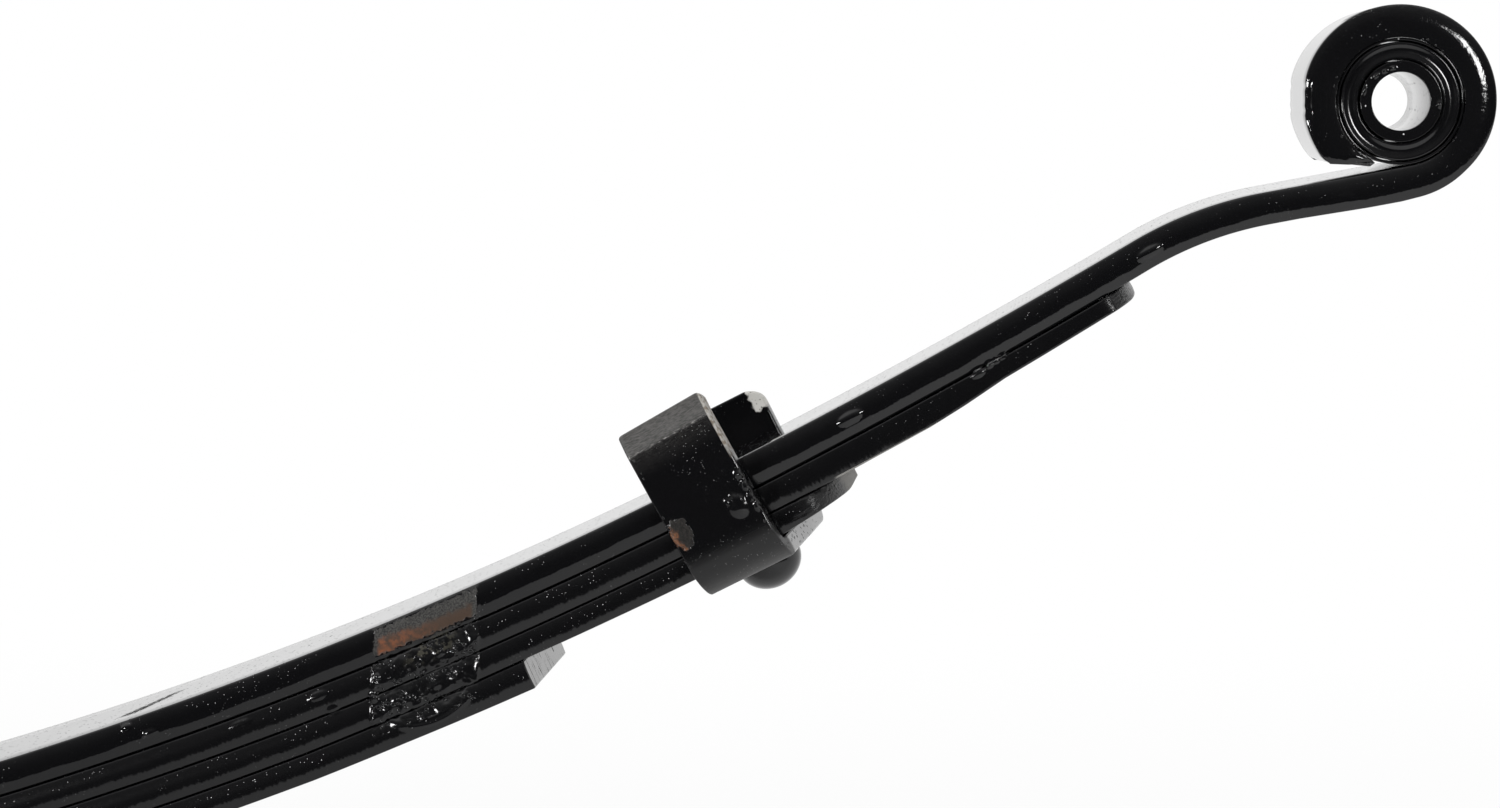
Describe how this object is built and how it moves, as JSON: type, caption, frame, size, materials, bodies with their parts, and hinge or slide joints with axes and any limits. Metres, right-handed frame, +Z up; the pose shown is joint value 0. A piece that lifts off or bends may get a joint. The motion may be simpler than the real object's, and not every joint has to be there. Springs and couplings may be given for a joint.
{
  "type": "leaf spring",
  "caption": "Truck leaf spring: stacked curved steel leaves on a centre bolt, an eye with a rubber bush rolled at each end, and riveted clips that hold the leaves in line.",
  "frame": {"origin": "on the axis of the centre bolt, at the underside of the leaf pack, where the axle seats", "axes": "+X along the spring, towards the end that the picture shows; +Y across the leaves; +Z up, from the axle seat towards the eyes"},
  "size_m": [1.5708, 0.0772, 0.2849],
  "materials": {
    "leaf_paint": "glossy black dipped paint",
    "clip_paint": "glossy black dipped paint with worn edges",
    "bush_paint": "satin black paint",
    "rubber": "dull black",
    "plated_steel": "dull zinc plate"
  },
  "bodies": {
    "centre_pack": {"main_leaf": "leaf_paint", "second_leaf": "leaf_paint", "third_leaf": "leaf_paint", "fourth_leaf": "leaf_paint", "centre_bolt": "plated_steel", "centre_nut": "plated_steel"},
    "front_arm": {"front_clip": "clip_paint", "front_clip_rivet": "clip_paint", "front_bush_shell": "bush_paint", "front_bush_rubber": "rubber"},
    "front_sleeve": {"front_inner_sleeve": "bush_paint"},
    "rear_arm": {"rear_clip": "clip_paint", "rear_clip_rivet": "clip_paint", "rear_bush_shell": "bush_paint", "rear_bush_rubber": "rubber"},
    "rear_sleeve": {"rear_inner_sleeve": "bush_paint"}
  },
  "joints": [
    {"name": "front_flex", "type": "hinge", "parent": "centre_pack", "child": "front_arm", "pos_m": [0.3112, 0, 0.04284], "axis": [0, 1, 0], "range_deg": [-2, 14], "stiffness_Nm_per_rad": 2900, "deforming": ["main_leaf", "second_leaf", "third_leaf", "fourth_leaf"]},
    {"name": "rear_flex", "type": "hinge", "parent": "centre_pack", "child": "rear_arm", "pos_m": [-0.3112, 0, 0.04284], "axis": [0, -1, 0], "range_deg": [-2, 14], "stiffness_Nm_per_rad": 2900, "deforming": ["main_leaf", "second_leaf", "third_leaf", "fourth_leaf"]},
    {"name": "front_bush_twist", "type": "hinge", "parent": "front_arm", "child": "front_sleeve", "pos_m": [0.76199, 0, 0.25292], "axis": [0, 1, 0], "range_deg": [-15, 15], "stiffness_Nm_per_rad": 60},
    {"name": "rear_bush_twist", "type": "hinge", "parent": "rear_arm", "child": "rear_sleeve", "pos_m": [-0.76199, 0, 0.25292], "axis": [0, -1, 0], "range_deg": [-15, 15], "stiffness_Nm_per_rad": 60}
  ]
}
